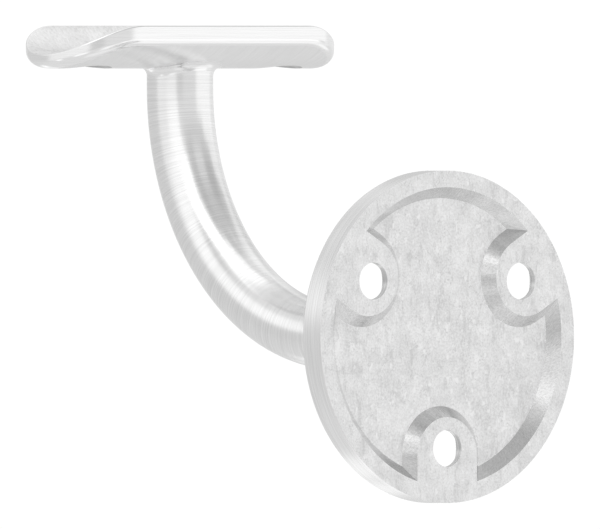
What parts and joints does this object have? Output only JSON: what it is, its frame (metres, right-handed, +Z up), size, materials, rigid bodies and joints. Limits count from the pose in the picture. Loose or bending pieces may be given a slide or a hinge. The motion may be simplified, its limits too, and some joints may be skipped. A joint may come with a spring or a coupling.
{
  "type": "handrail bracket",
  "caption": "One-piece cast handrail bracket: round wall plate, bent round arm and a curved saddle that carries a round tube.",
  "frame": {"origin": "centre of the wall plate's back, in the plane of the wall", "axes": "+Y points into the wall, so the arm stands out along -Y; +Z is up, towards the handrail; the handrail runs along X"},
  "size_m": [0.0756, 0.1023, 0.1005],
  "materials": {
    "stainless_steel": "investment-cast stainless steel: satin-brushed arm, plate rim and saddle sides, as-cast back, hollow and seat"
  },
  "bodies": {
    "root": {"bracket": "stainless_steel"}
  },
  "joints": []
}
